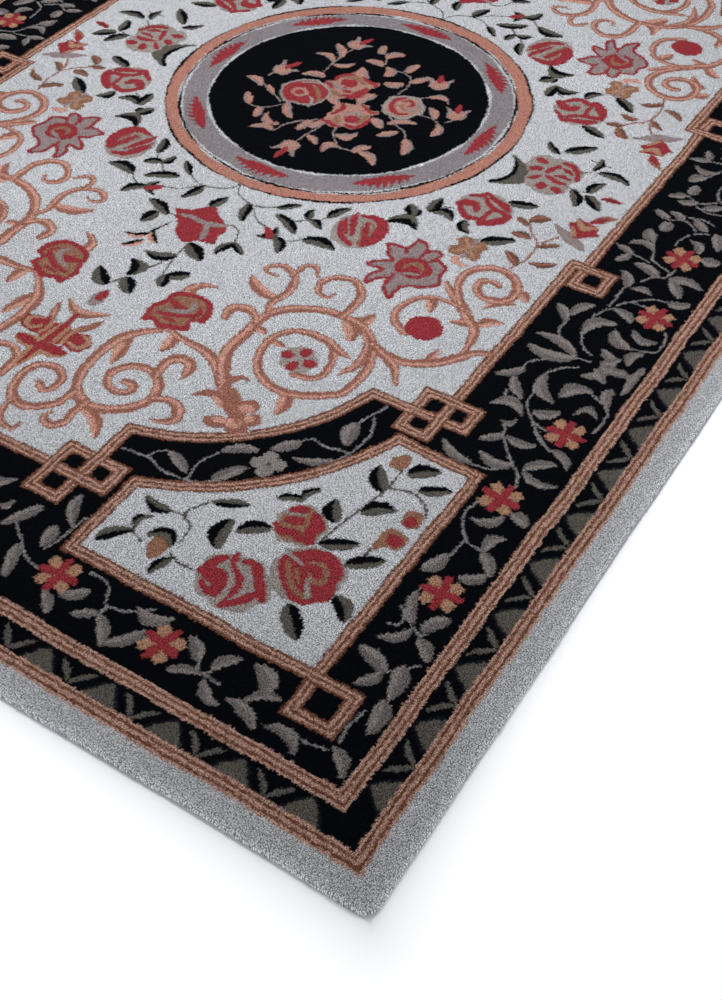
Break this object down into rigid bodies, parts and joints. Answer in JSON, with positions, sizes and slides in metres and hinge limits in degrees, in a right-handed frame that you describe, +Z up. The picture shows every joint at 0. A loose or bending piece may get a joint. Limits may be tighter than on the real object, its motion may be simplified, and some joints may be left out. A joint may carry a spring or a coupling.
{
  "type": "wool rug",
  "caption": "Rectangular tufted wool rug that lies flat on a floor, with a soft rounded pile edge and a floral medallion and border design.",
  "frame": {"origin": "under the middle of the rug, on the floor", "axes": "+Z up, the long sides run along Y, the short sides along X"},
  "size_m": [1.8334, 2.7476, 0.0125],
  "materials": {
    "wool_pile": "cut wool pile, dull, with heathered yarns"
  },
  "bodies": {
    "root": {"rug": "wool_pile"}
  },
  "joints": []
}
